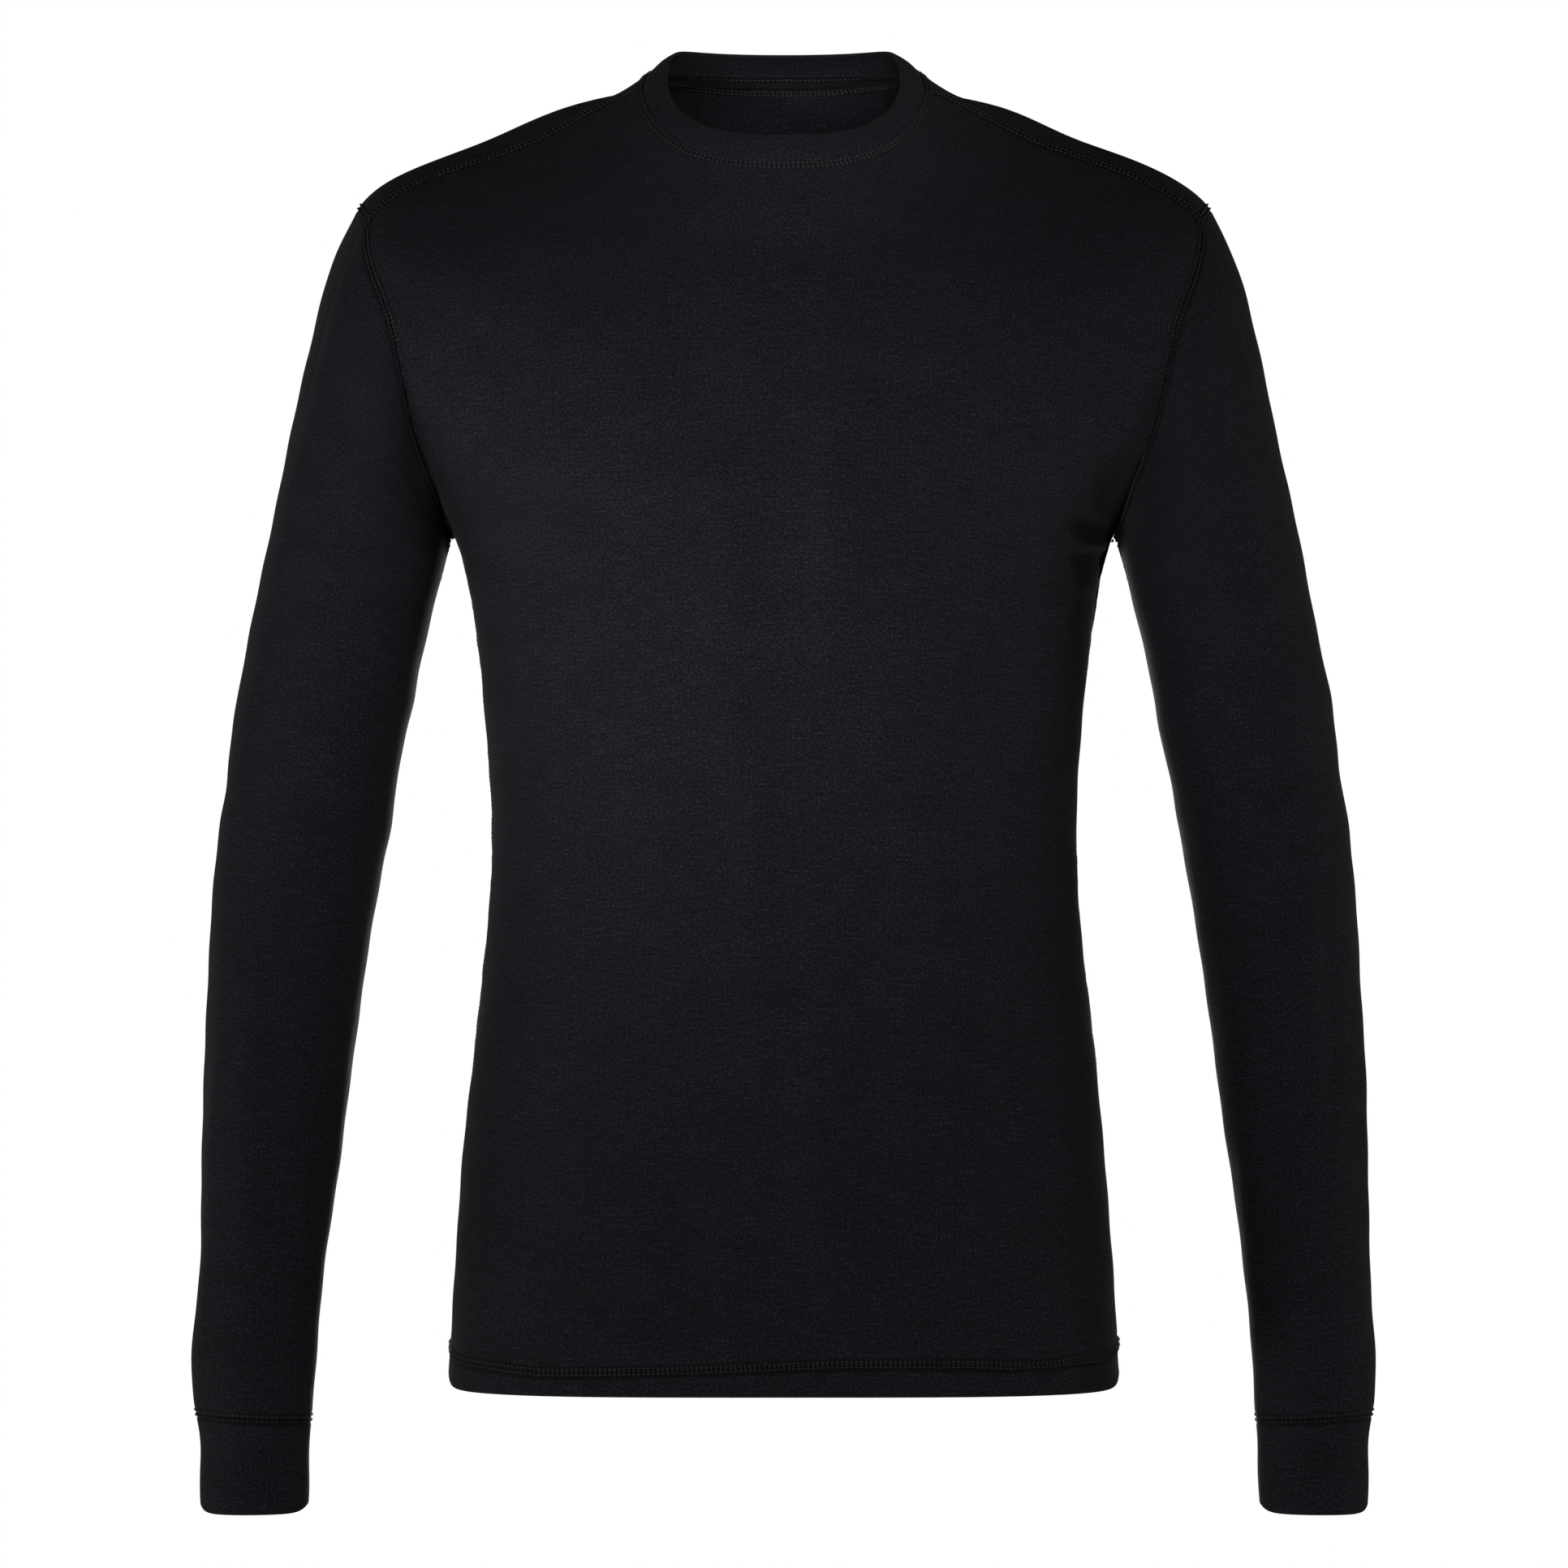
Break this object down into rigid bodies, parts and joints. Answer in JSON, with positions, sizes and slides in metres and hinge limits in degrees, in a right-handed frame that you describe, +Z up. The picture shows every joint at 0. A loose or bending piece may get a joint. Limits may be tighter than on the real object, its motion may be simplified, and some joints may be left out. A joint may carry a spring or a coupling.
{
  "type": "base layer top",
  "caption": "Fitted long-sleeved crew-neck base layer top in fine dark knit, hollow and filled out as worn, with ribless cuffs.",
  "frame": {"origin": "on the middle plane of the neck, level with the points where the neck seam crosses the tops of the shoulders", "axes": "+X to the wearer's left, -Y to the front, +Z up"},
  "size_m": [0.6186, 0.2405, 0.7724],
  "materials": {
    "jersey": "fine knit jersey, charcoal black, softly napped and matt",
    "cuff_knit": "doubled fine knit jersey, charcoal black, matt",
    "collar_knit": "doubled fine knit band, charcoal black, matt",
    "tape": "narrow knit tape, black, matt"
  },
  "bodies": {
    "root": {"front": "jersey", "back": "jersey", "sleeve_left": "jersey", "sleeve_right": "jersey", "cuff_left": "cuff_knit", "cuff_right": "cuff_knit", "collar": "collar_knit", "neck_tape": "tape"}
  },
  "joints": []
}
